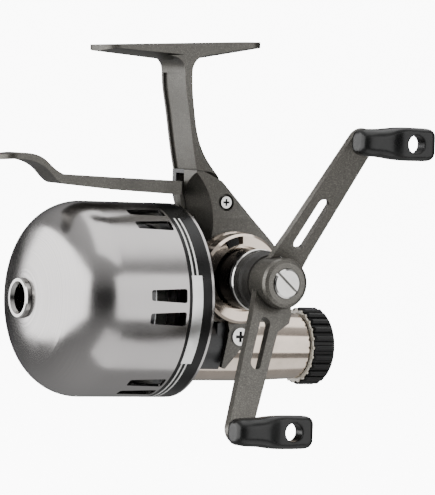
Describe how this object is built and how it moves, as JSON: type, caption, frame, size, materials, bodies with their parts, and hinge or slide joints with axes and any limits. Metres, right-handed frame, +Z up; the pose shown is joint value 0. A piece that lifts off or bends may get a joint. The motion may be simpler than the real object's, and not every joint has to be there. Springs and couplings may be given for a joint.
{
  "type": "spincast fishing reel",
  "caption": "Underspin spincast fishing reel: domed slotted nose cone, paddle crank handle, front trigger lever, rear drag dial and rod foot.",
  "frame": {"origin": "centre of the top face of the reel foot, where it meets the rod's reel seat", "axes": "+X back along the spool axis, away from the nose; -Y towards the handle; +Z up towards the rod"},
  "size_m": [0.121, 0.0981, 0.1258],
  "materials": {
    "reel_silver": "satin metallic",
    "cone_grey": "gloss metallic",
    "gunmetal": "satin",
    "chrome": "polished",
    "steel": "machined",
    "black_metal": "gloss",
    "black_plastic": "semi-gloss",
    "brass": "machined",
    "bearing": "ground",
    "line": "translucent",
    "gear_plastic": "moulded",
    "spool_metal": "anodised",
    "felt": "pressed",
    "band": "satin",
    "plate": "satin",
    "click_plastic": "translucent"
  },
  "bodies": {
    "frame": {"reel_foot": "reel_silver", "body": "reel_silver", "side_cover": "reel_silver", "cover_screws": "chrome", "nose_cone": "cone_grey", "line_guide_ring": "chrome", "label_band": "band", "name_plate": "plate", "spool_washer": "felt", "spool_clip": "steel", "pickup_cam": "gear_plastic", "shaft_return_spring": "steel", "pinion_bearing": "bearing", "crank_bearings": "bearing", "one_way_clutch": "steel", "clutch_rollers": "bearing", "far_cap": "reel_silver", "bearing_collar": "reel_silver", "crank_sleeve": "black_plastic", "trigger_pin": "steel", "trigger_spring": "steel", "drag_housing": "reel_silver", "drag_bush": "brass", "metal_washers": "steel", "drag_spring": "steel", "drag_end_cap": "black_plastic", "click_ring": "click_plastic"},
    "crank": {"crank_shaft": "steel", "drive_gear": "steel", "clutch_hub": "steel", "trim_ring": "chrome", "handle_collar": "black_metal", "handle_arm": "gunmetal", "hub_cap": "gunmetal", "handle_screw": "chrome", "upper_knob_pin": "steel", "lower_knob_pin": "steel"},
    "upper_paddle": {"upper_knob": "black_plastic"},
    "lower_paddle": {"lower_knob": "black_plastic"},
    "pinion": {"pinion_gear": "brass"},
    "thrust": {"thrust_block": "brass"},
    "rotor": {"spinner_head": "gunmetal", "main_shaft": "steel", "spinner_nut": "brass", "pickup_spring": "steel"},
    "pickup": {"pickup_pin": "steel"},
    "trigger": {"trigger_lever": "gunmetal"},
    "spool_body": {"spool": "spool_metal", "line_winding": "line", "spool_gear": "gear_plastic"},
    "drag_axle": {"drag_shaft": "steel", "drag_gear": "gear_plastic", "friction_washers": "felt"},
    "drag_dial": {"drag_knob": "black_plastic"},
    "drag_follower": {"drag_nut": "brass"},
    "selector": {"selector_tab": "black_plastic"}
  },
  "joints": [
    {"name": "crank_spin", "type": "hinge", "parent": "frame", "child": "crank", "pos_m": [0.017, 0, -0.0738], "axis": [0, 1, 0], "continuous": true},
    {"name": "upper_knob_spin", "type": "hinge", "parent": "crank", "child": "upper_paddle", "pos_m": [0.03703, -0.062, -0.0288], "axis": [0, 1, 0], "continuous": true},
    {"name": "lower_knob_spin", "type": "hinge", "parent": "crank", "child": "lower_paddle", "pos_m": [-0.00303, -0.062, -0.1188], "axis": [0, 1, 0], "continuous": true},
    {"name": "pinion_spin", "type": "hinge", "parent": "frame", "child": "pinion", "pos_m": [0.005, 0, -0.082], "axis": [1, 0, 0], "continuous": true},
    {"name": "trigger_pull", "type": "hinge", "parent": "frame", "child": "trigger", "pos_m": [0.009, 0.0029, -0.056], "axis": [0, 1, 0], "range_deg": [0, 8], "stiffness_Nm_per_rad": 0.2, "springref_deg": -5.73},
    {"name": "shaft_slide", "type": "slide", "parent": "frame", "child": "thrust", "axis": [-1, 0, 0], "range_m": [0, 0.0036], "deforming": ["shaft_return_spring"]},
    {"name": "rotor_spin", "type": "hinge", "parent": "thrust", "child": "rotor", "pos_m": [-0.02, 0, -0.082], "axis": [1, 0, 0], "continuous": true},
    {"name": "pickup_slide", "type": "slide", "parent": "rotor", "child": "pickup", "axis": [0, 0, -1], "range_m": [0, 0.0025], "deforming": ["pickup_spring"]},
    {"name": "spool_spin", "type": "hinge", "parent": "frame", "child": "spool_body", "pos_m": [-0.017, 0, -0.082], "axis": [1, 0, 0], "continuous": true},
    {"name": "drag_gear_spin", "type": "hinge", "parent": "frame", "child": "drag_axle", "pos_m": [0.01, 0, -0.0962], "axis": [1, 0, 0], "continuous": true},
    {"name": "drag_knob_turn", "type": "hinge", "parent": "frame", "child": "drag_dial", "pos_m": [0.05, 0, -0.0962], "axis": [-1, 0, 0], "range_deg": [0, 720]},
    {"name": "drag_nut_slide", "type": "slide", "parent": "frame", "child": "drag_follower", "axis": [-1, 0, 0], "range_m": [0, 0.0021], "deforming": ["drag_spring"]},
    {"name": "selector_turn", "type": "hinge", "parent": "frame", "child": "selector", "pos_m": [0.017, -0.019, -0.0738], "axis": [0, 1, 0], "range_deg": [0, 8]}
  ],
  "couplings": [
    {"joint": "pinion_spin", "follows": "crank_spin", "ratio": -4.1},
    {"joint": "rotor_spin", "follows": "crank_spin", "ratio": -4.1},
    {"joint": "shaft_slide", "follows": "trigger_pull", "m_per_rad": 0.0255},
    {"joint": "pickup_slide", "follows": "trigger_pull", "m_per_rad": 0.0172},
    {"joint": "drag_gear_spin", "follows": "spool_spin", "ratio": -2.4},
    {"joint": "drag_nut_slide", "follows": "drag_knob_turn", "m_per_rad": 0.00015915}
  ]
}
